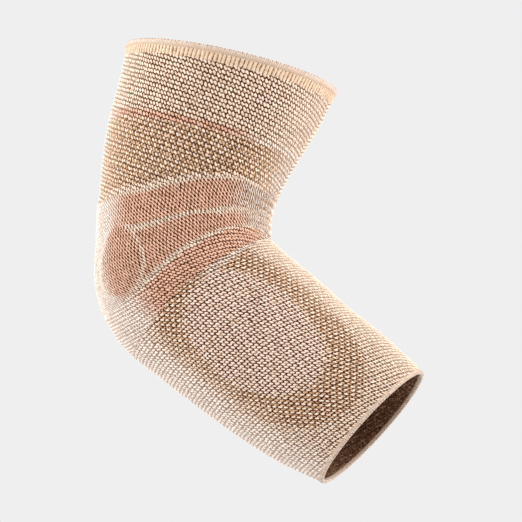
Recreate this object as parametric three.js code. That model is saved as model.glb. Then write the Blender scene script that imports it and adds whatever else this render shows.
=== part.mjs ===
// A knitted elbow sleeve with a smooth welt at each opening and a soft pad beside each
// point of the elbow, in the bent form that it has on an arm.
// Millimetres and degrees, +Z up. The origin is the middle of the arm at the elbow.
// The bend lies in the XZ plane: the upper arm rises, the forearm runs forward and down.
import * as THREE from "three";

// The arm's bend
const UPPER_LEAN = 14; // the upper arm, forward of upright
const FOREARM_DROP = 43; // the forearm, below level
const UPPER_LENGTH = 81; // crook to upper opening, along the upper arm
const FOREARM_LENGTH = 104; // crook to lower opening, along the forearm

// Outside sizes of the sections, front to back and side to side
const UPPER_DEPTH = 114;
const UPPER_WIDTH = 90;
const ELBOW_DEPTH = 92;
const ELBOW_WIDTH = 82;
const FOREARM_DEPTH = 74.5;
const FOREARM_WIDTH = 71;
const CROOK_RADIUS = 4; // of the fold in the crook of the arm

// The knit and its edges
const KNIT_WALL = 1.7;
const UPPER_WELT_HEIGHT = 3.6;
const LOWER_WELT_HEIGHT = 2;
const WELT_PROUD = 0.2; // how far a welt stands out from each face of the knit
const WELT_ROUND = 0.7; // rounding of a welt's free edge
const WELT_GAP = 0.3; // between a welt and the knit that it edges

// The pads, one on each side
const PAD_LENGTH = 36;
const PAD_BREADTH = 28;
const PAD_THICKNESS = 3.2;
const PAD_EDGE = 1; // thickness round the pad's rim
const PAD_GAP = 0.5; // between a pad and the knit over it
const PAD_RISE = 1.3; // how far the knit is pushed out over a pad
const PAD_TURN = 57; // round the arm from the point of the elbow
const PAD_FAN = 0.43; // place along the elbow's fan, from the upper arm's end

// The folds and shaped zones of the knit
const FOLD_DEPTH = 1.6; // crease that runs from the crook across each side
const LIP_RISE = 1.1; // roll of cloth above that crease
const BAND_RISE = 0.5; // bands that run from the crook to the pad
const SHIELD_RISE = 0.7; // oval on each side of the forearm
const SHIELD_LENGTH = 82;
const SHIELD_BREADTH = 52;
const SHIELD_TURN = 95;

// How finely the surfaces are divided
const TURNS = 44;
const UPPER_STEPS = 12;
const ELBOW_STEPS = 14;
const FOREARM_STEPS = 14;
const PAD_RINGS = 5;
const PAD_SPOKES = 20;

// Sections of the upper arm, from the crook up. along: share of its length. front: how far
// the front line stands in from the crook's fold, as a share of the elbow's depth. rim: how
// far the section has grown from the elbow's size to the opening's.
const UPPER_SECTIONS = [
  { along: 0, front: 0, rim: 0 },
  { along: 0.12, front: 0.018, rim: 0 },
  { along: 0.3, front: 0, rim: 0.17 },
  { along: 0.5, front: -0.05, rim: 0.44 },
  { along: 0.75, front: -0.12, rim: 0.72 },
  { along: 1, front: -0.175, rim: 1 },
];

// Sections that fan round the crook. depth: share of the elbow's depth, largest at its point.
const ELBOW_SECTIONS = [
  { along: 0, depth: 1 },
  { along: 0.25, depth: 0.985 },
  { along: 0.5, depth: 1.025 },
  { along: 0.75, depth: 1.025 },
  { along: 1, depth: 0.985 },
];

// Sections of the forearm, from the crook down, with the same columns as the upper arm's.
const FOREARM_SECTIONS = [
  { along: 0, front: 0, rim: 0 },
  { along: 0.12, front: 0, rim: 0.06 },
  { along: 0.3, front: -0.01, rim: 0.12 },
  { along: 0.5, front: -0.01, rim: 0.27 },
  { along: 0.75, front: -0.025, rim: 0.48 },
  { along: 1, front: -0.02, rim: 1 },
];

// Crests across each side of the elbow. at: place along the fan where the crest leaves the
// pad's side, and crook: where it reaches the crook. wide: half its width, as a share of the
// fan. from and to: the turns between which it shows. rise: its height.
const CRESTS = [
  { at: 1.22, crook: 0.95, wide: 0.05, from: 60, to: 150, rise: BAND_RISE },
  { at: 1.66, crook: 1.2, wide: 0.05, from: 70, to: 150, rise: BAND_RISE },
  { at: 1.6, crook: 1.6, wide: 0.16, from: 120, to: 172, rise: LIP_RISE },
  { at: 1.92, crook: 1.92, wide: 0.1, from: 115, to: 172, rise: -FOLD_DEPTH },
];

const radians = THREE.MathUtils.degToRad;
const { clamp, lerp, smoothstep } = THREE.MathUtils;

// The angle through which the sections fan, and the crook's place: half a section forward of
// the origin along the middle of the fan.
const FAN_START = 180 - UPPER_LEAN;
const FAN_END = 270 - FOREARM_DROP;
const FAN_MIDDLE = radians((FAN_START + FAN_END) / 2);
const CROOK = new THREE.Vector2(Math.cos(FAN_MIDDLE), Math.sin(FAN_MIDDLE)).multiplyScalar(
  -(CROOK_RADIUS + ELBOW_DEPTH / 2),
);

// A smooth curve through one column of a table: cubic pieces whose slope at a row is the
// weighted mean of the slopes on both sides.
function column(rows, name) {
  const slopes = rows.slice(1).map((row, i) => {
    return (row[name] - rows[i][name]) / (row.along - rows[i].along);
  });
  const tangents = rows.map((row, i) => {
    if (i === 0) return slopes[0];
    if (i === rows.length - 1) return slopes[i - 1];
    const before = row.along - rows[i - 1].along;
    const after = rows[i + 1].along - row.along;
    return (slopes[i - 1] * after + slopes[i] * before) / (before + after);
  });
  return (along) => {
    const last = rows.length - 2;
    const found = rows.findIndex((row, i) => i > 0 && along <= row.along);
    const i = found < 0 ? last : found - 1;
    const span = rows[i + 1].along - rows[i].along;
    const t = (along - rows[i].along) / span;
    const hold = rows[i][name] * (1 + 2 * t) * (1 - t) ** 2;
    const leave = tangents[i] * span * t * (1 - t) ** 2;
    const reach = rows[i + 1][name] * t * t * (3 - 2 * t);
    const arrive = tangents[i + 1] * span * t * t * (t - 1);
    return hold + leave + reach + arrive;
  };
}

const upperFront = column(UPPER_SECTIONS, "front");
const upperRim = column(UPPER_SECTIONS, "rim");
const elbowDepth = column(ELBOW_SECTIONS, "depth");
const forearmFront = column(FOREARM_SECTIONS, "front");
const forearmRim = column(FOREARM_SECTIONS, "rim");

// The section at a station: 0 is the upper opening, 1 and 2 the ends of the elbow's fan, and
// 3 the lower opening. Stations past an opening carry its section straight on.
function section(station) {
  const up = 1 - Math.min(station, 1);
  const fan = clamp(station - 1, 0, 1);
  const down = Math.max(station, 2) - 2;
  const toUpper = upperRim(Math.min(up, 1));
  const toForearm = forearmRim(Math.min(down, 1));
  const own = 1 - toUpper - toForearm;
  const shift = upperFront(Math.min(up, 1)) + forearmFront(Math.min(down, 1));
  const across = radians(lerp(FAN_START, FAN_END, fan));
  const backward = new THREE.Vector2(Math.cos(across), Math.sin(across));
  const upward = new THREE.Vector2(Math.sin(radians(UPPER_LEAN)), Math.cos(radians(UPPER_LEAN)));
  const onward = new THREE.Vector2(
    Math.cos(radians(FOREARM_DROP)),
    -Math.sin(radians(FOREARM_DROP)),
  );
  const depth = elbowDepth(fan) * ELBOW_DEPTH * own + UPPER_DEPTH * toUpper;
  return {
    root: CROOK.clone()
      .addScaledVector(upward, up * UPPER_LENGTH)
      .addScaledVector(onward, down * FOREARM_LENGTH),
    backward,
    front: CROOK_RADIUS + shift * ELBOW_DEPTH,
    depth: depth + FOREARM_DEPTH * toForearm,
    width: ELBOW_WIDTH * own + UPPER_WIDTH * toUpper + FOREARM_WIDTH * toForearm,
  };
}

// A turn on either side of the arm, as the turn of the same place on the right side.
function onRight(turn) {
  const whole = ((turn % 360) + 360) % 360;
  return whole > 180 ? 360 - whole : whole;
}

// How the pad lies on the side of the elbow: millimetres along the arm and round it from the
// pad's middle, then 0 at its middle and 1 at its outline, which narrows towards the top.
const PAD_RADIUS = CROOK_RADIUS + (ELBOW_DEPTH / 2) * (1 + Math.cos(radians(PAD_TURN)));
const PAD_ALONG = PAD_RADIUS * radians(FAN_END - FAN_START);
const PAD_ROUND = radians(1) * (ELBOW_DEPTH + ELBOW_WIDTH) * 0.25;
const PAD_TAPER = 0.22;

function padReach(station, turn) {
  const along = ((station - 1 - PAD_FAN) * PAD_ALONG) / (PAD_LENGTH / 2);
  const narrowing = 1 + PAD_TAPER * clamp(along, -1, 1);
  const round = ((turn - PAD_TURN) * PAD_ROUND) / ((PAD_BREADTH / 2) * narrowing);
  return Math.hypot(along, round);
}

// The same for the oval on the side of the forearm. It starts at the elbow's end.
const SHIELD_ROUND = radians(1) * (ELBOW_DEPTH + FOREARM_WIDTH) * 0.25;

function shieldReach(station, turn) {
  const along = ((station - 2) * FOREARM_LENGTH * 2) / SHIELD_LENGTH - 0.85;
  const round = ((turn - SHIELD_TURN) * SHIELD_ROUND * 2) / SHIELD_BREADTH;
  return Math.hypot(along, round);
}

// How far the knit stands out from the plain section at a place.
function relief(station, turn) {
  const side = onRight(turn);
  const overPad = PAD_RISE * (1 - smoothstep(padReach(station, side), 0.75, 1.4));
  const overShield = SHIELD_RISE * (1 - smoothstep(shieldReach(station, side), 0.85, 1.1));
  const overCrests = CRESTS.reduce((sum, crest) => {
    const share = clamp((side - crest.from) / (crest.to - crest.from), 0, 1);
    const off = (station - lerp(crest.at, crest.crook, share)) / crest.wide;
    return sum + crest.rise * Math.exp(-off * off) * Math.sin(Math.PI * share);
  }, 0);
  return overPad + overShield + overCrests;
}

// A place on the knit: an ellipse in the section, set in from the knit's outer face by inset.
// The turn is 0 at the back of the arm, 90 at its right side and 180 at the crook.
function place(station, turn, inset) {
  const { root, backward, front, depth, width } = section(station);
  const out = relief(station, turn) - inset;
  const reach = front + depth / 2 + (depth / 2 + out) * Math.cos(radians(turn));
  const side = -(width / 2 + out) * Math.sin(radians(turn));
  return new THREE.Vector3(root.x + backward.x * reach, side, root.y + backward.y * reach);
}

// A closed body from points in rows, each row a closed ring. With ends, the first and last
// rows close in one point each; without, the last row joins the first.
function body(rows, ends) {
  const count = rows[0].length;
  const points = ends ? [ends[0], ...rows.flat(), ends[1]] : rows.flat();
  const first = ends ? 1 : 0;
  const at = (row, i) => first + (row % rows.length) * count + (i % count);
  const faces = [];
  const bands = ends ? rows.length - 1 : rows.length;
  for (let row = 0; row < bands; row += 1) {
    for (let i = 0; i < count; i += 1) {
      faces.push(at(row, i), at(row + 1, i), at(row + 1, i + 1));
      faces.push(at(row, i), at(row + 1, i + 1), at(row, i + 1));
    }
  }
  if (ends) {
    for (let i = 0; i < count; i += 1) {
      faces.push(0, at(0, i), at(0, i + 1));
      faces.push(points.length - 1, at(rows.length - 1, i + 1), at(rows.length - 1, i));
    }
  }
  const geometry = new THREE.BufferGeometry().setFromPoints(points);
  geometry.setIndex(faces);
  geometry.computeVertexNormals();
  return geometry;
}

// One ring of the arm: the places all round it at a station and inset.
function ring(station, inset) {
  return Array.from({ length: TURNS }, (_, i) => place(station, (360 * i) / TURNS, inset));
}

// The knitted tube: down its outer face and back up its inner one.
function sleeve() {
  const start = (UPPER_WELT_HEIGHT + WELT_GAP) / UPPER_LENGTH;
  const end = 3 - (LOWER_WELT_HEIGHT + WELT_GAP) / FOREARM_LENGTH;
  const stations = [];
  for (let i = 0; i < UPPER_STEPS; i += 1) stations.push(lerp(start, 1, i / UPPER_STEPS));
  for (let i = 0; i < ELBOW_STEPS; i += 1) stations.push(1 + i / ELBOW_STEPS);
  for (let i = 0; i <= FOREARM_STEPS; i += 1) stations.push(lerp(2, end, i / FOREARM_STEPS));
  const outer = stations.map((station) => ring(station, 0));
  const inner = stations.map((station) => ring(station, KNIT_WALL)).reverse();
  return body([...outer, ...inner]);
}

// A welt round an opening: a band with a rounded free edge. edge is the opening's station,
// and inward is the change of station for each millimetre from the edge into the sleeve.
function welt(edge, inward, height) {
  const outside = -WELT_PROUD;
  const inside = KNIT_WALL + WELT_PROUD;
  const outline = [
    { from: height, inset: outside },
    { from: height, inset: inside },
    { from: WELT_ROUND, inset: inside },
    { from: 0, inset: inside - WELT_ROUND },
    { from: 0, inset: outside + WELT_ROUND },
    { from: WELT_ROUND, inset: outside },
  ];
  const rings = outline.map(({ from, inset }) => ring(edge + inward * from, inset));
  return body(inward > 0 ? rings : rings.reverse());
}

// A pad against the inner face of the knit: thin round its rim, thickest in the middle.
function pad(side) {
  const spot = (reach, spoke, inset) => {
    const angle = (2 * Math.PI * spoke) / PAD_SPOKES;
    const along = reach * Math.sin(angle);
    const round = reach * Math.cos(angle) * (1 + PAD_TAPER * along);
    const station = 1 + PAD_FAN + (along * PAD_LENGTH) / 2 / PAD_ALONG;
    const turn = PAD_TURN + (round * PAD_BREADTH) / 2 / PAD_ROUND;
    return place(station, turn * side, inset);
  };
  const under = KNIT_WALL + PAD_GAP;
  const thickness = (reach) => lerp(PAD_THICKNESS, PAD_EDGE, reach * reach);
  const ringAt = (reach, inset) =>
    Array.from({ length: PAD_SPOKES }, (_, spoke) => spot(reach, -side * spoke, inset));
  const reaches = Array.from({ length: PAD_RINGS }, (_, i) => (i + 1) / PAD_RINGS);
  const outer = reaches.map((reach) => ringAt(reach, under));
  const inner = reaches.map((reach) => ringAt(reach, under + thickness(reach))).reverse();
  return body([...outer, ...inner], [spot(0, 0, under), spot(0, 0, under + thickness(0))]);
}

// One named piece in its own material.
function piece(name, geometry, color, roughness) {
  const material = new THREE.MeshStandardMaterial({ color, roughness, metalness: 0 });
  const mesh = new THREE.Mesh(geometry, material);
  mesh.name = name;
  return mesh;
}

const group = new THREE.Group();
group.add(
  piece("knit_sleeve", sleeve(), 0xdcc0a0, 0.9),
  piece("upper_welt", welt(0, 1 / UPPER_LENGTH, UPPER_WELT_HEIGHT), 0xe8d2b8, 0.8),
  piece("lower_welt", welt(3, -1 / FOREARM_LENGTH, LOWER_WELT_HEIGHT), 0xe8d2b8, 0.8),
  piece("right_elbow_pad", pad(1), 0xd9a488, 0.6),
  piece("left_elbow_pad", pad(-1), 0xd9a488, 0.6),
);

export default group;
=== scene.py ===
from math import cos, pi, radians, sin

import bpy
import numpy as np
from mathutils import Matrix, Vector


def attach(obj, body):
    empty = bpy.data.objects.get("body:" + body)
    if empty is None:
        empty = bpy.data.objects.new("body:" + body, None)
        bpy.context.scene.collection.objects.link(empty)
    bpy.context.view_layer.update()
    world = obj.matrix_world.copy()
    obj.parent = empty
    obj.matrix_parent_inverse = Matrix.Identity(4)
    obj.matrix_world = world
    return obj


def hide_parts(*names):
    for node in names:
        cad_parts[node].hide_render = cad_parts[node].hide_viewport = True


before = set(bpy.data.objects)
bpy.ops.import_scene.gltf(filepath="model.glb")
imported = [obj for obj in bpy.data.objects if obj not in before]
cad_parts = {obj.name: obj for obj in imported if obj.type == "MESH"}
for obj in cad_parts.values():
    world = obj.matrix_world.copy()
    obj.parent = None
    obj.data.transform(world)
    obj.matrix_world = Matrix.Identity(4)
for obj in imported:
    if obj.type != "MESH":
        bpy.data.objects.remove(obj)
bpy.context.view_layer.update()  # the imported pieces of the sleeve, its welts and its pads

MM = 0.001

# Sizes of the sleeve, in millimetres and degrees, as in the part's source
UPPER_LEAN = 14
FOREARM_DROP = 43
UPPER_LENGTH = 81
FOREARM_LENGTH = 104
UPPER_DEPTH, UPPER_WIDTH = 114, 90
ELBOW_DEPTH, ELBOW_WIDTH = 92, 82
FOREARM_DEPTH, FOREARM_WIDTH = 74.5, 71
CROOK_RADIUS = 4
KNIT_WALL = 1.7
UPPER_WELT_HEIGHT = 3.6
LOWER_WELT_HEIGHT = 2
WELT_PROUD = 0.2
WELT_LAP = 0.4  # how far the knit runs in under each welt
WELT_LIP = 0.15  # half of how much taller a welt is than its stated height
WELT_RIB = 0.05  # height of the fine ribs on a welt
HOLE_PLACE, HOLE_SIZE = 0.3, 0.45  # the small holes, from a welt's free edge
PAD_LENGTH, PAD_BREADTH, PAD_TAPER = 36, 28, 0.22
PAD_THICKNESS, PAD_EDGE, PAD_GAP = 3.2, 1, 0.5
PAD_RISE = 1.3
PAD_TURN, PAD_FAN = 57, 0.43
SHIELD_LENGTH, SHIELD_BREADTH, SHIELD_TURN = 82, 52, 95
SHIELD_RISE = 0.7
SHIELD_PLACE = 0.85  # how far the oval's middle lies below the fan, in half lengths of the oval
PAD_EASE, SHIELD_EASE = (0.75, 1.4), (0.85, 1.1)  # reaches from the full rise to none

# Shares of those sizes along each stretch: along, front, rim; along, depth; as in the part
UPPER_SECTIONS = np.array(
    [(0, 0, 0), (0.12, 0.018, 0), (0.3, 0, 0.17), (0.5, -0.05, 0.44), (0.75, -0.12, 0.72),
     (1, -0.175, 1)]
)
ELBOW_SECTIONS = np.array([(0, 1), (0.25, 0.985), (0.5, 1.025), (0.75, 1.025), (1, 0.985)])
FOREARM_SECTIONS = np.array(
    [(0, 0, 0), (0.12, 0, 0.06), (0.3, -0.01, 0.12), (0.5, -0.01, 0.27), (0.75, -0.025, 0.48),
     (1, -0.02, 1)]
)
# Crests across the elbow's side: place at the pad, place at the crook, half width, the turns
# between which it shows, and rise in millimetres
CRESTS = (
    (1.22, 0.95, 0.05, 60, 150, 0.5),
    (1.66, 1.2, 0.05, 70, 150, 0.5),
    (1.6, 1.6, 0.16, 120, 172, 1.1),
    (1.92, 1.92, 0.1, 115, 172, -1.6),
)

# The knit: stitches round the sleeve and rows of them at its landmarks
WALES = 156
ACROSS, DOWN = 5, 4  # mesh steps for each stitch, round the sleeve and along it
INNER_ROWS = 3  # rows of stitches for each mesh row of the inner face
WELT_STEPS, WELT_OUTLINE = 4, 24  # mesh steps of a welt: for each stitch, and round its outline
PAD_SPOKES, PAD_RINGS = 72, 18  # mesh steps of a pad: round it, and from its middle to its rim
PEACH_ROW, TAN_ROW, BAND_ROW = 16, 17, 31
FIRST_ROW, SECOND_ROW, THIRD_ROW = 43, 56, 66  # where the three bands of the elbow end
LAST_ROW = 122
FOREARM_SPLITS = 85, 104  # rows at which the forearm's knit is parted into pieces
# The stitches of each zone, with these columns: stitches for each needle; how far they lean
# round the arm in each row; how far the rows climb for each needle; how deep the gaps beside a
# stitch, the groove in its middle and the gaps between the rows are; how much fainter every
# second gap is; how far the lines beside the stitches and those between the rows swing to and
# fro, in stitches
RIB_STITCH = (1.0, 0.0, 0.0, 0.65, 0.0, 0.0, 0.0, 0.0, 0.0)
UPPER_STITCH = (1.0, 0.0, 0.15, 1.0, 0.22, 1.0, 0.45, 0.09, 0.12)
BAND_STITCH = (1.0, 0.0, 0.96, 0.8, 0.1, 0.97, 0.15, 0.05, 0.06)
FOREARM_STITCH = (0.98, 0.09, 0.14, 1.0, 0.1, 1.0, 0.55, 0.06, 0.1)
WELT_STITCH = (1.0, 0.0, 0.0, 0.55, 0.0, 0.0, 0.0, 0.0, 0.0)
ROW_PAIR = 0.4  # share of that faintness which the gaps between the rows have
LINE_POWER = 2.4  # how narrow the gaps are
RIB_ROWS = 2  # rows of long ribs under the upper welt
UNDER_TURN, UNDER_SHARE = 48, 0.65  # stitches behind this turn on the forearm are wider
# Zones whose courses are counted from their upper end: first row, last row, millimetres from
# one course to the next. Where a zone is narrower, its last courses stop short.
COURSES = (
    (0, BAND_ROW, 2.2),
    (BAND_ROW, FIRST_ROW, 1.9),
    (FIRST_ROW, SECOND_ROW, 1.9),
    (SECOND_ROW, THIRD_ROW, 1.9),
    (THIRD_ROW, LAST_ROW, 2.05),
)
# How far the stitches stray round the arm and along it, in stitches, how many stitches wide a
# patch that strays is, and how much their heights differ
STRAY_ROUND, STRAY_ALONG, STRAY_PATCH, UNEVEN_HEIGHT = 0.11, 0.12, 1.3, 0.3
# Heights in millimetres from the lowest to the highest place, of raised bars and of loops, and
# the share of each that lies below the cloth's mean face
BAR_HEIGHT, LOOP_HEIGHT, BELOW_FACE = 0.3, 0.5, 0.6
CROWDED, LEAST_HEIGHT = 0.6, 0.15  # rows nearer than this stand up less, down to this share
# Stations of those landmarks at turns from the back of the arm to the crook: the cream band
# under the tan zone, then the ends of the three bands
LANDMARKS = np.array(
    [
        (0, 1.05, 1.25, 1.66, 1.90),
        (40, 1.04, 1.25, 1.68, 1.90),
        (55, 1.00, 1.24, 1.68, 1.90),
        (75, 0.95, 1.23, 1.65, 1.89),
        (95, 0.865, 1.16, 1.56, 1.87),
        (112, 0.80, 1.04, 1.46, 1.87),
        (132, 0.75, 0.95, 1.28, 1.89),
        (150, 0.76, 0.92, 1.12, 1.88),
        (180, 0.79, 0.92, 1.03, 1.85),
    ]
)
PEACH_STATION, TAN_STATION = 0.48, 0.505
JOIN_STATIONS = 1.97, 2.01  # between which the cream line under the third band ends

# Turns between which a colour comes in or goes out, in degrees from the back of the arm
BACK_TURNS, FRONT_TURNS = (8, 46), (150, 172)
PALE_FRONT_TURNS, BAND_FRONT_TURNS = (120, 150), (118, 140)
PEACH_IN_TURNS, PEACH_OUT_TURNS = (14, 50), (112, 145)
BAND_STARTS, BAND_ENDS = (44, 54), (126, 134, 150)  # of the upper two and the third; of all
BAND_IN, BAND_OUT = 21, 22  # how many degrees a band takes to come in and to go out
FIRST_LINE_TURNS, LINE_TURNS = (25, 55), (55, 68)
PAD_TURNS, PAD_LINE_TURNS = (32, 56), (56, 66)
BLEND_TURNS, BLEND_ROWS = (36, 56), 8  # where the bands blend into the forearm at the back
FOREARM_TURNS, JOIN_TURNS = (30, 62), (92, 122)
RING_IN_TURNS, RING_OUT_TURNS = (40, 66), (142, 156)
FAINT_BACK_TURNS, FAINT_FRONT_TURNS = (5, 65), (128, 165)  # where the painted shade in the gaps is fainter: painted light where the side lights brighten the back and the front
# Reaches at which a colour ends round the pad and round the oval: low, high, and softness
PAD_PAINT, PAD_LINE = (0.9, 1.0), (0.99, 1.1, 0.04)
SHIELD_PAINT, RING_PAINT = (0.93, 0.99), (0.95, 1.48, 0.08)
SOFT = 0.3  # softness of a zone's edge, in rows

FAN_START, FAN_END = 180 - UPPER_LEAN, 270 - FOREARM_DROP
FAN_MIDDLE = radians((FAN_START + FAN_END) / 2)
CROOK = -(CROOK_RADIUS + ELBOW_DEPTH / 2) * np.array([cos(FAN_MIDDLE), sin(FAN_MIDDLE)])


def srgb(red, green, blue):
    """A colour from 0 to 255 as seen, turned to the linear values that light works with."""
    seen = np.array([red, green, blue]) / 255
    return tuple(np.where(seen < 0.04045, seen / 12.92, ((seen + 0.055) / 1.055) ** 2.4)) + (1.0,)


CREAM = srgb(252, 233, 213)
BEIGE = srgb(234, 208, 180)
TAN = srgb(226, 176, 112)
SANDY = srgb(226, 184, 138)
PEACH = srgb(248, 199, 175)
PAD_PEACH = srgb(241, 196, 173)
PINKISH = srgb(251, 231, 215)
PALE = srgb(252, 241, 230)
DUSKY = srgb(228, 200, 180)
# The welt's yarn, and the same yarn darkened with a painted shadow where the welt meets the knit
WELT_LIGHT = srgb(230, 212, 196)
WELT_SHADOWED = srgb(198, 172, 148)
# Painted shade: dark brown for the depths of the gaps between the loops, then SHADED and
# PALE_SHADE as the painted half-shade at their edges
GAP_SHADE = srgb(52, 20, 4)
SHADED = srgb(150, 98, 62)
PALE_SHADE = srgb(182, 154, 134)
WORN = srgb(214, 174, 140)
# The inner face's yarn darkened with painted shade, for the inside of the sleeve lying in shadow
LINING_IN_SHADE = srgb(72, 54, 45)


def curve(table, column, at):
    """A smooth curve through one column of a table: cubic pieces whose slope at a row is the
    weighted mean of the slopes on both sides."""
    x, y = table[:, 0], table[:, column]
    spans = np.diff(x)
    slopes = np.diff(y) / spans
    middle = (slopes[:-1] * spans[1:] + slopes[1:] * spans[:-1]) / (spans[1:] + spans[:-1])
    tangents = np.concatenate([slopes[:1], middle, slopes[-1:]])
    at = np.clip(at, x[0], x[-1])
    k = np.clip(np.searchsorted(x, at, side="right") - 1, 0, len(spans) - 1)
    t = (at - x[k]) / spans[k]
    hold = y[k] * (1 + 2 * t) * (1 - t) ** 2 + y[k + 1] * t * t * (3 - 2 * t)
    bend = tangents[k] * t * (1 - t) ** 2 + tangents[k + 1] * t * t * (t - 1)
    return hold + bend * spans[k]


def step(value, low, high):
    """0 below low, 1 above high, and a smooth rise between them."""
    t = np.clip((value - low) / (high - low), 0, 1)
    return t * t * (3 - 2 * t)


def window(value, low, high, soft):
    """1 between low and high and 0 outside, with soft edges."""
    return step(value, low - soft, low + soft) * (1 - step(value, high - soft, high + soft))


def on_side(turn):
    """The turn of the same place on the right side: 0 at the back, 180 at the crook."""
    whole = np.mod(turn, 360)
    return np.where(whole > 180, 360 - whole, whole)


def pad_reach(station, side):
    """0 at the pad's middle and 1 at its outline, which narrows towards the top."""
    radius = CROOK_RADIUS + ELBOW_DEPTH / 2 * (1 + cos(radians(PAD_TURN)))
    scale = radius * radians(FAN_END - FAN_START)
    along = (station - 1 - PAD_FAN) * scale / (PAD_LENGTH / 2)
    narrowing = 1 + PAD_TAPER * np.clip(along, -1, 1)
    round_scale = radians(1) * (ELBOW_DEPTH + ELBOW_WIDTH) / 4
    return np.hypot(along, (side - PAD_TURN) * round_scale / (PAD_BREADTH / 2 * narrowing))


def shield_reach(station, side):
    """0 at the middle of the forearm's oval and 1 at its outline."""
    along = (station - 2) * FOREARM_LENGTH * 2 / SHIELD_LENGTH - SHIELD_PLACE
    round_scale = radians(1) * (ELBOW_DEPTH + FOREARM_WIDTH) / 4
    return np.hypot(along, (side - SHIELD_TURN) * round_scale * 2 / SHIELD_BREADTH)


def relief(station, turn):
    """How far the cloth stands out from the plain section: over a pad, over the forearm's
    oval, and along each crest, which is a bell curve across its line."""
    side = on_side(turn)
    out = PAD_RISE * (1 - step(pad_reach(station, side), *PAD_EASE))
    out = out + SHIELD_RISE * (1 - step(shield_reach(station, side), *SHIELD_EASE))
    for at, crook, wide, start, end, rise in CRESTS:
        share = np.clip((side - start) / (end - start), 0, 1)
        off = (station - (at + (crook - at) * share)) / wide
        out = out + rise * np.exp(-off * off) * np.sin(pi * share)
    return out


def place(station, turn, inset):
    """Places on the cloth, in millimetres: an ellipse across the arm at each station, from 0
    at the upper opening through 1 and 2 at the ends of the elbow's fan to 3 at the lower one.
    inset is how far a place lies inside the cloth's outer face."""
    up, down = 1 - np.minimum(station, 1), np.maximum(station, 2) - 2
    fan = np.clip(station - 1, 0, 1)
    to_upper, to_forearm = curve(UPPER_SECTIONS, 2, up), curve(FOREARM_SECTIONS, 2, down)
    own = 1 - to_upper - to_forearm
    shift = curve(UPPER_SECTIONS, 1, up) + curve(FOREARM_SECTIONS, 1, down)
    depth = curve(ELBOW_SECTIONS, 1, fan) * ELBOW_DEPTH * own
    depth = depth + UPPER_DEPTH * to_upper + FOREARM_DEPTH * to_forearm
    width = ELBOW_WIDTH * own + UPPER_WIDTH * to_upper + FOREARM_WIDTH * to_forearm
    across = np.radians(FAN_START + (FAN_END - FAN_START) * fan)
    lean, drop, angle = radians(UPPER_LEAN), radians(FOREARM_DROP), np.radians(turn)
    out = relief(station, turn) - inset
    reach = CROOK_RADIUS + shift * ELBOW_DEPTH + depth / 2 + (depth / 2 + out) * np.cos(angle)
    root_x = CROOK[0] + up * UPPER_LENGTH * sin(lean) + down * FOREARM_LENGTH * cos(drop)
    root_z = CROOK[1] + up * UPPER_LENGTH * cos(lean) - down * FOREARM_LENGTH * sin(drop)
    x, z = root_x + np.cos(across) * reach, root_z + np.sin(across) * reach
    return np.stack([x, -(width / 2 + out) * np.sin(angle), z], axis=-1)


def outward(station, turn, inset):
    """The cloth's outward direction at each place, from the cross product of its slopes."""
    along = place(station + 0.002, turn, inset) - place(station - 0.002, turn, inset)
    around = place(station, turn + 0.2, inset) - place(station, turn - 0.2, inset)
    normal = np.cross(along, around)
    return normal / np.linalg.norm(normal, axis=-1, keepdims=True)


def stations_of(row, side):
    """The station of each row of stitches at each turn: straight runs between landmarks."""
    start = (UPPER_WELT_HEIGHT - WELT_LAP) / UPPER_LENGTH
    end = 3 - (LOWER_WELT_HEIGHT - WELT_LAP) / FOREARM_LENGTH
    known = [start, PEACH_STATION, TAN_STATION]
    lines = [np.full(side.shape, value) for value in known]
    lines += [curve(LANDMARKS, column, side) for column in (1, 2, 3, 4)]
    lines.append(np.full(side.shape, end))
    rows = [0, PEACH_ROW, TAN_ROW, BAND_ROW, FIRST_ROW, SECOND_ROW, THIRD_ROW, LAST_ROW]
    station = np.zeros(np.broadcast(row, side).shape)
    for k in range(len(rows) - 1):
        share = (row - rows[k]) / (rows[k + 1] - rows[k])
        inside = (row >= rows[k]) & (row <= rows[k + 1])
        station = np.where(inside, lines[k] + (lines[k + 1] - lines[k]) * share, station)
    return station


def sine(value):
    """The sine, of numbers or of a material's socket."""
    return value.maths("SINE", value) if isinstance(value, Term) else np.sin(value)


def at_least(value, low):
    """The greater of a value and a limit, of numbers or of a material's socket."""
    if isinstance(value, Term):
        return value.maths("MAXIMUM", value, low)
    return np.maximum(value, low)


def lattice(wale, row, share, lean, climb):
    """The place of each point among a zone's stitches: stitches round the arm, then rows."""
    return wale * share + row * lean, row - wale * climb


def crossing(value):
    """1 on the lines between stitches, 0 in their middles: a power of a raised cosine."""
    return at_least(sine((value + 0.25) * (2 * pi)) * 0.5 + 0.5, 0.0) ** LINE_POWER


def stitch(wale, row, share, lean, climb, beside, groove, between, pair, swing, sway):
    """How high the yarn stands in the face of the knit, 0 in the gaps and 1 on the loops: gap
    lines beside the stitches, which the finish paints with painted shade, a shallow groove in
    their middles and shaded gap lines between the rows, multiplied together. The lines swing in
    sines. Every second line is fainter, by a raised cosine two stitches long; those beside the
    stitches change places every two rows, so that the stronger lines part blocks of two by two
    stitches, set like bricks."""
    across, down = lattice(wale, row, share, lean, climb)
    swing, sway = sine(down * (2 * pi)) * swing, sine(across * (2 * pi)) * sway
    across, down = across + swing, down + sway
    bricks = sine((down + 1) * (pi / 2))
    beside = beside * (1 - (sine((across + 0.5) * pi) * bricks * 0.5 + 0.5) * pair)
    between = between * (1 - (sine((down + 0.5) * pi) * 0.5 + 0.5) * (pair * ROW_PAIR))
    legs = (1 - crossing(across) * beside) * (1 - crossing(across + 0.5) * groove)
    return legs * (1 - crossing(down) * between)


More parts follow.
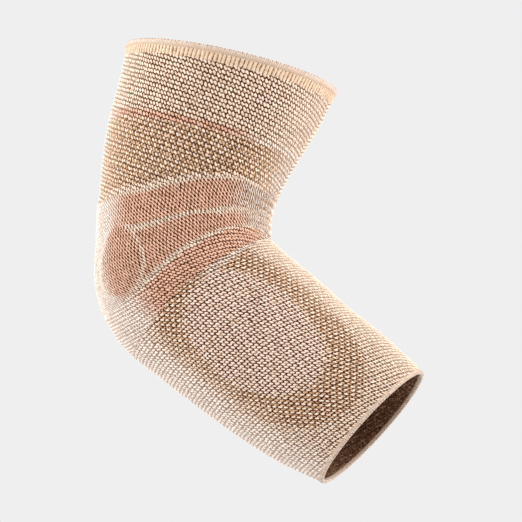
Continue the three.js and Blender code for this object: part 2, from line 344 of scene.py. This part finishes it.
def uneven(row, wale, size, seed):
    """Smooth random values from -1 to 1: one drawn for each block of stitches, with an eased
    run from one to the next, closed round the arm."""
    across, down = round(WALES / size), int(LAST_ROW / size) + 2
    drawn = np.random.default_rng(seed).uniform(-1, 1, (down, across))
    y, x = row / size, wale * across / WALES
    top, left = np.floor(y).astype(int), np.floor(x).astype(int)
    down_share, right_share = step(y - top, 0, 1), step(x - left, 0, 1)
    left, right = left % across, (left + 1) % across
    upper = drawn[top, left] * (1 - right_share) + drawn[top, right] * right_share
    lower = drawn[top + 1, left] * (1 - right_share) + drawn[top + 1, right] * right_share
    return upper * (1 - down_share) + lower * down_share


def bars(wale, line, width):
    """Raised bars two stitches apart, set like bricks from row to row, with flat ground
    between them."""
    across = np.mod((wale + np.floor(line)) / 2, 1)
    return window(across, 0.04, width, 0.08) * window(np.mod(line, 1), 0.1, 0.9, 0.1)


def dots(wale, row):
    """Close knitting with small round dips, set crosswise."""
    x = np.mod(wale + np.mod(np.floor(row), 2) * 0.5, 1) - 0.5
    y = np.mod(row, 1) - 0.5
    return 1 - 0.6 * np.exp(-((x / 0.25) ** 2) - (y / 0.28) ** 2)


def knit(row, course, wale, station, side):
    """How the sleeve is knitted at each place: how far the stitches stand up, from 0 to 1, and
    the colour of the yarn, with the strength of the painted shade in its gaps as a fourth value.
    Each zone is laid over those before."""
    shape = row.shape
    raised = dots(wale, course)
    colour = np.broadcast_to(PALE[:3] + (0.6,), shape + (4,)).copy()

    def lay(amount, own_raised, low, high, dark):
        """Lays a zone over the others: its stitches, its colours for ground and crest, and
        the strength of the painted shade in its gaps."""
        nonlocal raised, colour
        own_raised = np.broadcast_to(own_raised, shape)
        raised = raised + (own_raised - raised) * amount
        mix = step(own_raised, 0.3, 0.8)[..., None]
        own = np.array(low[:3] + (dark,)) * (1 - mix) + np.array(high[:3] + (dark,)) * mix
        colour = colour + (own - colour) * amount[..., None]

    kinds = UPPER_STITCH, FOREARM_STITCH, BAND_STITCH
    upper, low, slanted = (lattice(wale, course, *kind[:3]) for kind in kinds)
    back, front = step(side, *BACK_TURNS), 1 - step(side, *FRONT_TURNS)
    lay(step(side, *PALE_FRONT_TURNS) * (row < THIRD_ROW), 0.85, PALE, PALE, 0.9)
    upper_zone = window(row, -1, PEACH_ROW, SOFT)
    lay(upper_zone, 0.8 + 0.2 * bars(*upper, 0.6), BEIGE, CREAM, 1.0)
    lay(window(row, -1, RIB_ROWS, 0.2), 0.8, BEIGE, BEIGE, 1.0)
    peach_line = window(row, PEACH_ROW - 0.6, TAN_ROW + 0.3, SOFT) * step(side, *PEACH_IN_TURNS)
    lay(peach_line * (1 - step(side, *PEACH_OUT_TURNS)), 0.8, PEACH, PEACH, 1.0)
    tan = window(row, TAN_ROW + 0.3, BAND_ROW + 0.5, SOFT)
    brick = bars(upper[0], upper[1] * 0.72, 0.68)
    lay(tan, 0.55 + 0.45 * brick, BEIGE, PALE, 0.9)
    lay(tan * back * front, 0.42 + 0.58 * brick, TAN, CREAM, 0.95)
    bands = window(row, BAND_ROW + 0.3, THIRD_ROW + 0.2, SOFT)
    slants = 0.57 + 0.43 * bars(*slanted, 0.6)
    lay(bands * step(side, *BAND_FRONT_TURNS), slants, SANDY, PALE, 1.0)
    start = np.where(row < SECOND_ROW, *BAND_STARTS)
    end = np.select([row < FIRST_ROW, row < SECOND_ROW], BAND_ENDS[:2], BAND_ENDS[2])
    shown = step(side, start, start + BAND_IN) * (1 - step(side, end, end + BAND_OUT))
    lay(bands * shown, 0.85, PEACH, PEACH, 1.0)
    lines = ((BAND_ROW, FIRST_LINE_TURNS), (FIRST_ROW, LINE_TURNS), (SECOND_ROW, LINE_TURNS))
    cream = [window(row, line - 1, line + 1, SOFT) * step(side, *turns) for line, turns in lines]
    lay(np.maximum.reduce(cream) * front, 1.0, CREAM, CREAM, 0.85)
    pad = pad_reach(station, side)
    pad_face = (1 - step(pad, *PAD_PAINT)) * step(side, *PAD_TURNS)
    lay(pad_face, 0.8, PAD_PEACH, PAD_PEACH, 1.0)
    lay(window(pad, *PAD_LINE) * step(side, *PAD_LINE_TURNS), 1.0, CREAM, CREAM, 0.8)
    blend = BLEND_ROWS * (1 - step(side, *BLEND_TURNS))
    forearm = step(row, THIRD_ROW - 0.4 - blend, THIRD_ROW + 0.1 + blend)
    lay(forearm, 0.85, PALE, PALE, 0.85)
    fine_bars = 0.65 + 0.35 * bars(*low, 0.8)
    lay(forearm * step(side, *FOREARM_TURNS), fine_bars, BEIGE, CREAM, 0.95)
    shield = shield_reach(station, side)
    ring = window(shield, *RING_PAINT) * forearm * step(side, *RING_IN_TURNS)
    ring_bars = 0.4 + 0.6 * bars(*low, 0.6)
    lay(ring * (1 - step(side, *RING_OUT_TURNS)), ring_bars, SANDY, CREAM, 1.0)
    block = window(np.mod((low[0] + np.floor(low[1] / 2)) / 2, 1), 0.1, 0.9, 0.1)
    oval = (1 - step(shield, *SHIELD_PAINT)) * forearm
    lay(oval, 0.5 + 0.5 * block, DUSKY, PINKISH, 1.0)
    join = step(row, THIRD_ROW - 0.3, THIRD_ROW + 0.2) * (1 - step(station, *JOIN_STATIONS))
    lay(join * step(side, *JOIN_TURNS), 0.9, PALE, PALE, 0.9)
    # Painted light: the painted shade in the gaps fades towards the back and the front, which the
    # side lights brighten, less so across the bands
    faint_front = step(side, *FAINT_FRONT_TURNS) * (1 - 0.6 * bands)
    colour[..., 3] *= 1 - 0.6 * (1 - step(side, *FAINT_BACK_TURNS)) - 0.4 * faint_front
    return raised, colour


def courses(grid, first, last):
    """The course at each place of a stretch: the length along the cloth from the upper end of
    its zone, counted in that zone's courses, with a small drift."""
    start, _, pitch = [zone for zone in COURSES if zone[0] <= first < zone[1]][0]
    rows = slice(first * DOWN, last * DOWN + 1)
    along = grid["length"][rows] - grid["length"][start * DOWN]
    return start + along / pitch + grid["drift"][rows]


def sleeve_grid():
    """The whole outer face as one grid: rows of places down the arm and columns round it,
    with each place moved out by its stitch. Rows that crowd into the crook stand up less."""
    row = (np.arange(LAST_ROW * DOWN + 1) / DOWN)[:, None]
    wale = (np.arange(WALES * ACROSS + 1) / ACROSS)[None, :]
    turn = wale * 360 / WALES
    side = on_side(turn)
    station = stations_of(row, side)
    turn, side = np.broadcast_to(turn, station.shape), np.broadcast_to(side, station.shape)
    base, normal = place(station, turn, 0), outward(station, turn, 0)
    row = np.broadcast_to(row, station.shape)
    full = np.broadcast_to(wale, station.shape)
    lengths = np.linalg.norm(np.diff(base, axis=0), axis=-1)
    length = np.concatenate([np.zeros((1, full.shape[1])), np.cumsum(lengths, axis=0)])
    grid = {"row": row, "station": station, "turn": turn, "length": length,
            "wale": side * WALES / 360 + STRAY_ROUND * uneven(row, full, STRAY_PATCH, 1),
            "drift": STRAY_ALONG * uneven(row, full, STRAY_PATCH, 2)}
    course = np.concatenate([courses(grid, first, last)[:-1] for first, last, _ in COURSES]
                            + [courses(grid, THIRD_ROW, LAST_ROW)[-1:]])
    behind = np.where(row >= THIRD_ROW, np.maximum(UNDER_TURN - side, 0), 0)
    grid["wale"] = grid["wale"] + behind * (1 - UNDER_SHARE) * WALES / 360
    raised, colour = knit(row, course, grid["wale"], station, side)
    raised = np.clip(raised * (1 + UNEVEN_HEIGHT * uneven(row, full, 1, 3)), 0, 1)
    amount = np.clip(np.gradient(length, axis=0) * DOWN / CROWDED, LEAST_HEIGHT, 1)
    # The stitches of the ribs, the upper knit, two bands, the third band, and then the forearm
    zones = [row < RIB_ROWS, row < BAND_ROW, row <= SECOND_ROW, row <= THIRD_ROW]
    kinds = zip(RIB_STITCH, UPPER_STITCH, BAND_STITCH, UPPER_STITCH, FOREARM_STITCH)
    here = [np.select(zones, kind[:4], kind[4]) for kind in kinds]
    loop = stitch(grid["wale"], course, *here)
    loops = LOOP_HEIGHT * (loop - BELOW_FACE) * (0.4 + 0.6 * raised)
    height = amount * (BAR_HEIGHT * (raised - BELOW_FACE) + loops)
    points = base + normal * height[..., None]
    shown = np.cross(np.gradient(points, axis=0), np.gradient(points, axis=1))
    shown /= np.maximum(np.linalg.norm(shown, axis=-1, keepdims=True), 1e-9)
    grid.update(points=points, normals=shown, relief=raised, yarn=colour)
    return grid


def closed_mesh(name, points, normals, uvs, relief_value, yarn):
    """A mesh from a grid whose rows and columns both close on themselves. The last column
    repeats the first, so that the stitches' UV map has no seam inside a face."""
    rows, columns = points.shape[0], points.shape[1] - 1
    index = np.arange(rows * columns).reshape(rows, columns)
    below, right = np.roll(index, -1, axis=0), np.roll(index, -1, axis=1)
    quads = np.stack([index, below, np.roll(below, -1, axis=1), right], axis=-1).reshape(-1, 4)
    mesh = bpy.data.meshes.new(name)
    mesh.vertices.add(rows * columns)
    mesh.vertices.foreach_set("co", (points[:, :-1] * MM).ravel())
    mesh.loops.add(quads.size)
    mesh.loops.foreach_set("vertex_index", quads.ravel())
    mesh.polygons.add(len(quads))
    mesh.polygons.foreach_set("loop_start", np.arange(0, quads.size, 4))
    mesh.polygons.foreach_set("loop_total", np.full(len(quads), 4))
    mesh.update(calc_edges=True)
    down = np.roll(uvs, -1, axis=0)
    corners = np.stack([uvs[:, :-1], down[:, :-1], down[:, 1:], uvs[:, 1:]], axis=2)
    layer = mesh.uv_layers.new(name="stitches")
    layer.uv.foreach_set("vector", corners.reshape(-1).astype(np.float32))
    values = mesh.attributes.new("relief", "FLOAT", "POINT")
    values.data.foreach_set("value", relief_value[:, :-1].ravel())
    colours = mesh.attributes.new("yarn", "FLOAT_COLOR", "POINT")
    colours.data.foreach_set("color", yarn[:, :-1].ravel())
    mesh.polygons.foreach_set("use_smooth", np.ones(len(quads), bool))
    mesh.normals_split_custom_set_from_vertices(normals[:, :-1].reshape(-1, 3))
    return mesh


def add_piece(name, mesh, material, node):
    """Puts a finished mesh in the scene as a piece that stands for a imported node."""
    piece = bpy.data.objects.new(name, mesh)
    bpy.context.scene.collection.objects.link(piece)
    mesh.materials.append(material)
    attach(piece, "root")
    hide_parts(node)


def band_of_knit(grid, first, last):
    """One stretch of the sleeve as a closed band: its outer face, then its inner face back
    up, with one row of places there for a few rows of stitches."""
    outer = slice(first * DOWN, last * DOWN + 1)
    count = max(3, (last - first) // INNER_ROWS + 1)
    inner = np.linspace(last * DOWN, first * DOWN, count).round().astype(int)
    station, turn = grid["station"][inner], grid["turn"][inner]
    inside = place(station, turn, KNIT_WALL)
    points = np.concatenate([grid["points"][outer], inside])
    normals = np.concatenate([grid["normals"][outer], -outward(station, turn, KNIT_WALL)])
    course = courses(grid, first, last)
    down = np.concatenate([course, course[inner - first * DOWN]])
    wales = np.concatenate([grid["wale"][outer], grid["wale"][inner]])
    uvs = np.stack([wales, down], axis=-1) / WALES
    relief_value = np.concatenate([grid["relief"][outer], np.full(inside.shape[:2], 0.8)])
    # The inner face: yarn darkened with painted shade, with full painted shade in its gaps
    lining_in_shade = np.broadcast_to(LINING_IN_SHADE, inside.shape[:2] + (4,))
    return points, normals, uvs, relief_value, np.concatenate([grid["yarn"][outer], lining_in_shade])


def welt_mesh(name, edge, inward, height):
    """A welt: a rounded flat outline carried round the opening, with two fine ribs to each
    stitch on its outer face, a cosine, and a row of small holes painted along its free edge in
    the finish's painted gap shade. Towards the knit its yarn darkens with a painted shadow."""
    wale = (np.arange(WALES * WELT_STEPS + 1) / WELT_STEPS)[None, :]
    turn = wale * 360 / WALES
    angle = np.linspace(0, 2 * pi, WELT_OUTLINE + 1)[:-1, None]
    square = np.sign(np.cos(angle)) * np.abs(np.cos(angle)) ** 0.5
    flat = np.sign(np.sin(angle)) * np.abs(np.sin(angle)) ** 0.5
    thick = KNIT_WALL / 2 + WELT_PROUD
    depth_in = KNIT_WALL / 2 - square * thick
    ribs = WELT_RIB * np.cos(4 * pi * wale) * step(square, 0.2, 0.9)
    from_edge = height / 2 + WELT_LIP - flat * (height / 2 + WELT_LIP)
    shape = np.broadcast(from_edge, wale).shape
    station = np.broadcast_to(edge + inward * from_edge, shape)
    turns = np.broadcast_to(turn, shape)
    points = place(station, turns, np.broadcast_to(depth_in, shape) - ribs)
    if inward < 0:
        points, from_edge = points[::-1], from_edge[::-1]
    down = np.roll(points, -1, axis=0) - np.roll(points, 1, axis=0)
    around = np.concatenate([points[:, 1:2] - points[:, -2:-1], points[:, 2:] - points[:, :-2],
                             points[:, 1:2] - points[:, -2:-1]], axis=1)
    normals = np.cross(down, around)
    normals /= np.linalg.norm(normals, axis=-1, keepdims=True)
    hole = np.exp(-(((from_edge - HOLE_PLACE) / HOLE_SIZE) ** 2))
    hole = hole * (0.6 + 0.4 * np.cos(2 * pi * wale))
    relief_value = np.broadcast_to(1 - hole, shape)
    around_uv = np.broadcast_to(wale * 2, shape) / WALES
    uvs = np.stack([around_uv, np.full(shape, 0.25 / WALES)], axis=-1)
    # Painted shadow: the welt's yarn darkens from its free edge towards the knit; the holes get
    # stronger painted gap shade
    share = np.broadcast_to(step(from_edge, 0.8, height), shape)[..., None]
    yarn = np.array(WELT_LIGHT) * (1 - share) + np.array(WELT_SHADOWED) * share
    yarn[..., 3] = 0.4 + 0.6 * hole
    return closed_mesh(name, points, normals, uvs, relief_value, yarn)


def pad_mesh(name, hand):
    """A pad: rings of places from its middle out to its rim over its outer face, then back
    to the middle over its inner face, each end closed by a fan of triangles."""
    spokes, rings = PAD_SPOKES, PAD_RINGS
    angle = np.linspace(0, 2 * pi, spokes + 1)[:-1]
    reach = np.sin(np.linspace(0.02, 1, rings) * pi / 2)
    reach = np.concatenate([reach, reach[::-1]])[:, None]
    outer = (np.arange(2 * rings) < rings)[:, None]
    thickness = PAD_THICKNESS + (PAD_EDGE - PAD_THICKNESS) * reach ** 2
    inset = KNIT_WALL + PAD_GAP + np.where(outer, 0, thickness)
    rim = np.where(outer, 0.3, -0.3) * step(reach, 0.93, 1)
    radius = CROOK_RADIUS + ELBOW_DEPTH / 2 * (1 + cos(radians(PAD_TURN)))
    along = reach * np.sin(angle)
    station = 1 + PAD_FAN + along * PAD_LENGTH / 2 / (radius * radians(FAN_END - FAN_START))
    across = reach * np.cos(angle) * (1 + PAD_TAPER * along) * PAD_BREADTH / 2
    turn = PAD_TURN + across / (radians(1) * (ELBOW_DEPTH + ELBOW_WIDTH) / 4)
    points = place(station, turn * hand, inset + rim).reshape(-1, 3)
    ends = np.array([points[:spokes].mean(0), points[-spokes:].mean(0)])
    points = np.concatenate([points, ends])
    index = np.arange(2 * rings * spokes).reshape(2 * rings, spokes)
    beside = np.roll(index, -1, axis=1)
    quads = np.stack([index[:-1], index[1:], beside[1:], beside[:-1]], axis=-1).reshape(-1, 4)
    first, last = 2 * rings * spokes, 2 * rings * spokes + 1
    fans = [(first, a, b) for a, b in zip(index[0], beside[0])]
    fans += [(last, b, a) for a, b in zip(index[-1], beside[-1])]
    faces = quads.tolist() + fans
    if hand > 0:
        faces = [face[::-1] for face in faces]
    mesh = bpy.data.meshes.new(name)
    mesh.from_pydata((points * MM).tolist(), [], faces)
    mesh.polygons.foreach_set("use_smooth", np.ones(len(mesh.polygons), bool))
    return mesh


class Term:
    """An output socket of a material's nodes. Arithmetic on it adds Math nodes."""

    def __init__(self, finish, socket):
        self.finish, self.socket = finish, socket

    def maths(self, operation, *values):
        """A Math node of these values."""
        return self.finish.node("Math", {"operation": operation}, dict(enumerate(values)))

    def __add__(self, other):
        return self.maths("ADD", self, other)

    def __sub__(self, other):
        return self.maths("SUBTRACT", self, other)

    def __rsub__(self, other):
        return self.maths("SUBTRACT", other, self)

    def __mul__(self, other):
        return self.maths("MULTIPLY", self, other)

    def __pow__(self, other):
        return self.maths("POWER", self, other)

    __radd__, __rmul__ = __add__, __mul__


class Finish:
    """A material whose nodes are added one at a time."""

    def __init__(self, name):
        self.material = bpy.data.materials.new(name)
        self.material.use_nodes = True
        self.tree = self.material.node_tree
        self.tree.nodes.clear()

    def node(self, kind, settings=None, inputs=None, output=0):
        """Adds a node: its settings first, then values or links for its sockets."""
        made = self.tree.nodes.new("ShaderNode" + kind)
        for name, value in (settings or {}).items():
            setattr(made, name, value)
        for name, value in (inputs or {}).items():
            if isinstance(value, Term):
                self.tree.links.new(value.socket, made.inputs[name])
            else:
                made.inputs[name].default_value = value
        return Term(self, made.outputs[output]) if len(made.outputs) else None

    def mix(self, factor, low, high):
        """A colour between two, by a factor."""
        return self.node("Mix", {"data_type": "RGBA"}, {0: factor, 6: low, 7: high}, 2)

    def noise(self, scale, detail):
        """Even noise through the piece, from 0 to 1."""
        where = self.node("TexCoord", output=3)
        return self.node("TexNoise", None, {"Vector": where, "Scale": scale, "Detail": detail})

    def surface(self, inputs):
        """Ends the material in one Principled shader."""
        shader = self.node("BsdfPrincipled", None, inputs)
        self.node("OutputMaterial", None, {"Surface": shader})
        return self.material


def knit_finish(name, stitches):
    """Elastic knit. Its stitches follow the UV map by the same formula as the mesh: yarn where
    they stand up, and painted shade in the gaps, dark brown in their depths with a painted
    half-shade at their edges, stronger where the yarn attribute's alpha is higher. Noise breaks
    the edges of the gaps and wears the yarn in patches; fine twisted strands, a sine, and fuzz
    are a bump; loose fibres give a soft sheen."""
    finish = Finish(name)
    uv = finish.node("UVMap", {"uv_map": "stitches"})
    split = finish.node("SeparateXYZ", None, {0: uv}).socket.node
    wale, row = (Term(finish, split.outputs[k]) * float(WALES) for k in (0, 1))
    loop = stitch(wale, row, *stitches)
    strands = sine((wale * 3 + row * 2) * (2 * pi))
    stood = finish.node("Attribute", {"attribute_name": "relief"}, output=2)
    yarn = finish.node("Attribute", {"attribute_name": "yarn"})
    dark = Term(finish, yarn.socket.node.outputs["Alpha"])
    broken = finish.noise(1100.0, 1.0) - 0.5
    level = loop * (stood * 0.7 + 0.3) + broken * 1.05
    deep = finish.node("MapRange", {"interpolation_type": "SMOOTHSTEP"},
                       {"Value": level, "From Min": 0.0, "From Max": 0.42})
    lit = finish.node("MapRange", {"interpolation_type": "SMOOTHSTEP"},
                      {"Value": level, "From Min": 0.16, "From Max": 0.8})
    patchy = finish.node("MapRange", None, {"Value": finish.noise(520.0, 2.0), "From Min": 0.45,
                                            "From Max": 0.7, "To Max": 0.55})
    worn = finish.mix(patchy, yarn, WORN)
    # Painted shade in the gaps: from the gap shade in their depths to a painted half-shade, paler
    # where the yarn's alpha is lower
    shadow = finish.mix(dark, finish.mix(0.6, yarn, PALE_SHADE), finish.mix(deep, GAP_SHADE, SHADED))
    colour = finish.mix(lit, shadow, worn)
    height = loop + strands * 0.06 + finish.noise(2600.0, 3.0) * 0.25
    bump = finish.node("Bump", None, {"Strength": 0.5, "Distance": 0.0004, "Height": height})
    return finish.surface({"Base Color": colour, "Roughness": 0.95 - lit * 0.2,
                           "Normal": bump, "Sheen Weight": 0.14, "Sheen Roughness": 0.35,
                           "Sheen Tint": (1.0, 0.97, 0.94, 1.0), "Specular IOR Level": 0.12})


def pad_finish():
    """Soft matte silicone with fine dimples."""
    finish = Finish("soft_pad")
    grain = finish.noise(1400.0, 2.0)
    bump = finish.node("Bump", None, {"Strength": 0.2, "Distance": 0.0002, "Height": grain})
    colour = finish.mix(finish.noise(60.0, 2.0), srgb(216, 156, 128), srgb(228, 172, 144))
    return finish.surface({"Base Color": colour, "Roughness": 0.5 + grain * 0.15,
                           "Normal": bump, "Specular IOR Level": 0.4})


def floor_finish():
    """Pale matte paper, slightly cloudy."""
    finish = Finish("pale_floor")
    colour = finish.mix(finish.noise(3.0, 2.0), srgb(236, 236, 237), srgb(241, 241, 242))
    return finish.surface({"Base Color": colour, "Roughness": 0.9})


# The studio: the floor's half width and height in metres, and how bright the pale world is
FLOOR_HALF, FLOOR_LOW = 4.0, -0.62
WORLD_SEEN, WORLD_STRENGTH = srgb(239, 239, 239), 0.55
# Its lights: name, azimuth, elevation, distance and size in metres, power in watts
LIGHTS = (
    ("key_left", -75, 25, 1.1, 0.9, 13),
    ("key_right", 95, 20, 1.1, 0.9, 13),
    ("front_fill", 10, 35, 1.4, 0.9, 5),
)

# The camera, from the photograph's geometry: how it faces, how far it stands in metres, where
# the crook of the arm falls in a picture of 522 pixels, the lens's length in those pixels, and
# the sensor's width in millimetres
AZIMUTH, ELEVATION = radians(11.5), radians(-9.4)
DISTANCE = 1.015
PICTURE, CROOK_X, CROOK_Y = 522, 276.7, 235.0
LENS_PIXELS, SENSOR = 1978, 36


def add_camera():
    """Stands the camera so that the crook of the arm falls at its place in the picture."""
    back = Vector((sin(AZIMUTH) * cos(ELEVATION), -cos(AZIMUTH) * cos(ELEVATION), sin(ELEVATION)))
    right = Vector((cos(AZIMUTH), sin(AZIMUTH), 0))
    up = back.cross(right)
    scale = DISTANCE / LENS_PIXELS
    crook = Vector((CROOK[0] * MM, 0, CROOK[1] * MM))
    spot_right, spot_up = (CROOK_X - PICTURE / 2) * scale, (PICTURE / 2 - CROOK_Y) * scale
    data = bpy.data.cameras.new("camera")
    data.lens, data.sensor_width = LENS_PIXELS / PICTURE * SENSOR, SENSOR
    data.clip_start, data.clip_end = 0.05, 20
    camera = bpy.data.objects.new("camera", data)
    turned = Matrix((right, up, back)).transposed().to_4x4()
    where = crook + back * DISTANCE - right * spot_right - up * spot_up
    camera.matrix_world = Matrix.Translation(where) @ turned
    bpy.context.scene.collection.objects.link(camera)
    bpy.context.scene.camera = camera


def add_light(name, azimuth, elevation, distance, size, power):
    """A soft square light that faces the elbow from a direction round the part."""
    a, e = radians(azimuth), radians(elevation)
    where = Vector((sin(a) * cos(e), -cos(a) * cos(e), sin(e))) * distance
    data = bpy.data.lights.new(name, "AREA")
    data.shape, data.size, data.energy = "SQUARE", size, power
    light = bpy.data.objects.new(name, data)
    light.location = where
    light.rotation_euler = where.to_track_quat("Z", "Y").to_euler()
    bpy.context.scene.collection.objects.link(light)


def add_studio():
    """A pale floor well below the part, soft lights round it, and an even pale world."""
    mesh = bpy.data.meshes.new("floor")
    half, low = FLOOR_HALF, FLOOR_LOW
    mesh.from_pydata([(-half, -half, low), (half, -half, low), (half, half, low),
                      (-half, half, low)], [], [(0, 1, 2, 3)])
    mesh.materials.append(floor_finish())
    floor = bpy.data.objects.new("floor", mesh)
    bpy.context.scene.collection.objects.link(floor)
    for light in LIGHTS:
        add_light(*light)
    world = bpy.data.worlds.new("studio")
    bpy.context.scene.world = world
    world.use_nodes = True
    nodes, links = world.node_tree.nodes, world.node_tree.links
    nodes.clear()
    seen, lighting = nodes.new("ShaderNodeBackground"), nodes.new("ShaderNodeBackground")
    seen.inputs["Color"].default_value = WORLD_SEEN
    lighting.inputs["Color"].default_value = (1.0, 1.0, 1.0, 1.0)
    lighting.inputs["Strength"].default_value = WORLD_STRENGTH
    path, both = nodes.new("ShaderNodeLightPath"), nodes.new("ShaderNodeMixShader")
    out = nodes.new("ShaderNodeOutputWorld")
    links.new(path.outputs["Is Camera Ray"], both.inputs[0])
    links.new(lighting.outputs[0], both.inputs[1])
    links.new(seen.outputs[0], both.inputs[2])
    links.new(both.outputs[0], out.inputs["Surface"])
    bpy.context.scene.view_settings.view_transform = "Standard"


add_camera()
grid = sleeve_grid()
rib_stitches = knit_finish("rib_stitches", RIB_STITCH)
upper_stitches = knit_finish("upper_stitches", UPPER_STITCH)
band_stitches = knit_finish("band_stitches", BAND_STITCH)
forearm_stitches = knit_finish("forearm_stitches", FOREARM_STITCH)
# The sleeve's stretches: name, first row, last row, finish
STRETCHES = (
    ("upper_ribs", 0, RIB_ROWS, rib_stitches),
    ("upper_knit", RIB_ROWS, TAN_ROW, upper_stitches),
    ("tan_knit", TAN_ROW, BAND_ROW, upper_stitches),
    ("first_elbow_band", BAND_ROW, FIRST_ROW, band_stitches),
    ("second_elbow_band", FIRST_ROW, SECOND_ROW, band_stitches),
    ("third_elbow_band", SECOND_ROW, THIRD_ROW, upper_stitches),
    ("forearm_knit_upper", THIRD_ROW, FOREARM_SPLITS[0], forearm_stitches),
    ("forearm_knit_middle", *FOREARM_SPLITS, forearm_stitches),
    ("forearm_knit_lower", FOREARM_SPLITS[1], LAST_ROW, forearm_stitches),
)
for stretch, first, last, finish in STRETCHES:
    mesh = closed_mesh(stretch, *band_of_knit(grid, first, last))
    add_piece(stretch, mesh, finish, "knit_sleeve")
welt_stitches = knit_finish("welt_stitches", WELT_STITCH)
upper = welt_mesh("upper_hem", 0, 1 / UPPER_LENGTH, UPPER_WELT_HEIGHT)
add_piece("upper_hem", upper, welt_stitches, "upper_welt")
lower = welt_mesh("lower_hem", 3, -1 / FOREARM_LENGTH, LOWER_WELT_HEIGHT)
add_piece("lower_hem", lower, welt_stitches, "lower_welt")
silicone = pad_finish()
for name, hand in (("right", 1), ("left", -1)):
    mesh = pad_mesh(name + "_soft_pad", hand)
    add_piece(name + "_soft_pad", mesh, silicone, name + "_elbow_pad")
add_studio()
